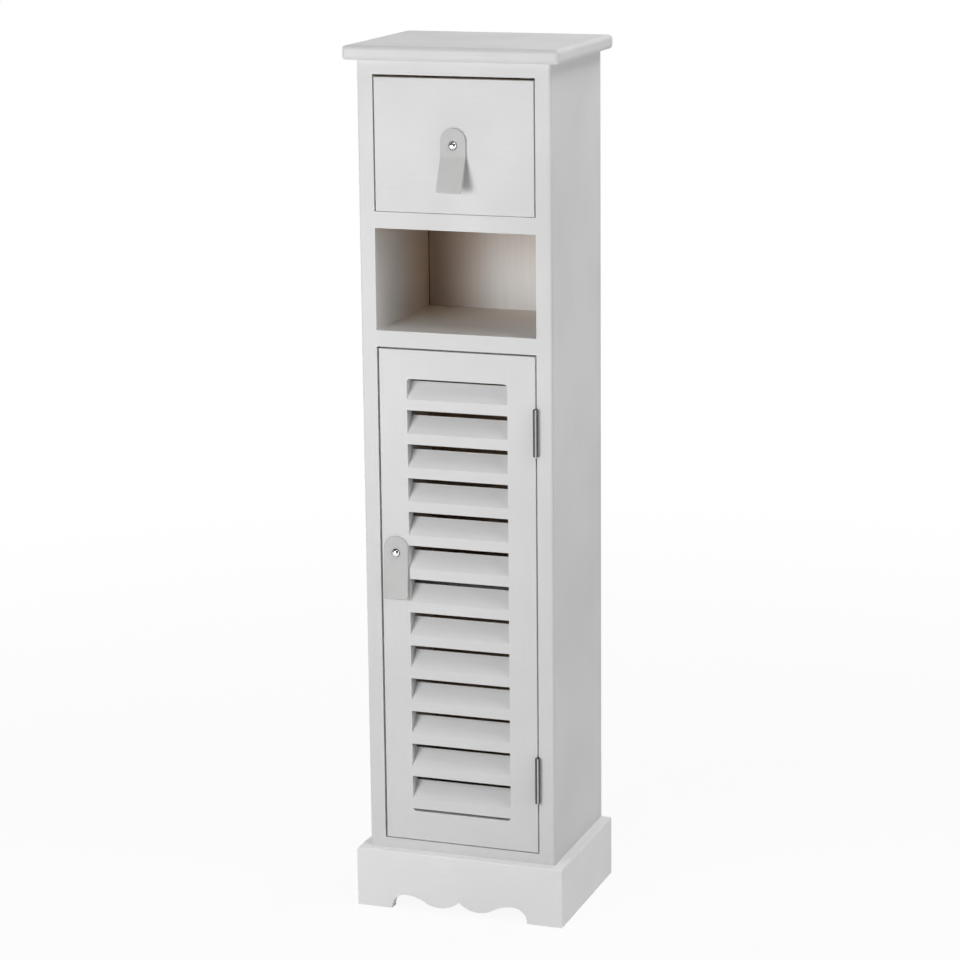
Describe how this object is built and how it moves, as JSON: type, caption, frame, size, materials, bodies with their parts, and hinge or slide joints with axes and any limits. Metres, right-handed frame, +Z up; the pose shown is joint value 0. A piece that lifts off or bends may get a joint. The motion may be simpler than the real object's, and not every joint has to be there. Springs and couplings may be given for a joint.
{
  "type": "narrow column cabinet",
  "caption": "Tall narrow white bathroom cabinet with a drawer, an open niche, a louvred door with strap pulls, an overhanging top and a scalloped plinth.",
  "frame": {"origin": "on the floor, in the middle of the object's outline seen from above", "axes": "+Z up, the front with the drawer and door faces -Y, +X to the right seen from the front"},
  "size_m": [0.251, 0.2022, 1],
  "materials": {
    "white_paint": "satin off-white paint over wood, with faint brush and grain marks",
    "inner_paint": "matt warm-white paint on thin board",
    "beech": "bare wood",
    "drawer_wood": "bare light wood, smooth",
    "steel": "satin steel",
    "chrome": "polished",
    "strap": "smooth light grey imitation leather",
    "plastic": "white moulded"
  },
  "bodies": {
    "carcass": {"top_panel": "white_paint", "left_side_panel": "white_paint", "right_side_panel": "white_paint", "top_rail": "white_paint", "back_rail": "inner_paint", "divider_board": "white_paint", "niche_board": "white_paint", "bottom_board": "white_paint", "back_panel": "inner_paint", "plinth_front": "white_paint", "plinth_left": "white_paint", "plinth_right": "white_paint", "corner_blocks": "beech", "carcass_dowels": "beech", "top_screws": "steel", "shelf": "inner_paint", "shelf_pins": "steel", "drawer_stops": "beech", "magnet_catch": "plastic", "catch_screws": "steel", "upper_frame_leaf": "steel", "lower_frame_leaf": "steel", "upper_hinge_pin": "steel", "lower_hinge_pin": "steel", "frame_hinge_screws": "steel"},
    "drawer": {"drawer_front": "white_paint", "drawer_left_side": "drawer_wood", "drawer_right_side": "drawer_wood", "drawer_back": "drawer_wood", "drawer_bottom": "drawer_wood", "drawer_dowels": "beech", "drawer_pull_tab": "strap", "drawer_pull_screw": "chrome"},
    "door": {"door_left_stile": "white_paint", "door_right_stile": "white_paint", "door_top_rail": "white_paint", "door_bottom_rail": "white_paint", "door_dowels": "beech", "upper_door_leaf": "steel", "lower_door_leaf": "steel", "door_hinge_screws": "steel", "catch_plate": "steel", "catch_plate_screw": "steel", "door_pull_tab": "strap", "door_pull_screw": "chrome", "louvre_slat_1": "white_paint", "louvre_slat_2": "white_paint", "louvre_slat_3": "white_paint", "louvre_slat_4": "white_paint", "louvre_slat_5": "white_paint", "louvre_slat_6": "white_paint", "louvre_slat_7": "white_paint", "louvre_slat_8": "white_paint", "louvre_slat_9": "white_paint", "louvre_slat_10": "white_paint", "louvre_slat_11": "white_paint", "louvre_slat_12": "white_paint", "louvre_slat_13": "white_paint"}
  },
  "joints": [
    {"name": "drawer_slide", "type": "slide", "parent": "carcass", "child": "drawer", "axis": [0, -1, 0], "range_m": [0, 0.12]},
    {"name": "door_swing", "type": "hinge", "parent": "carcass", "child": "door", "pos_m": [0.09375, -0.08603, 0.3735], "axis": [0, 0, 1], "range_deg": [0, 175]}
  ]
}
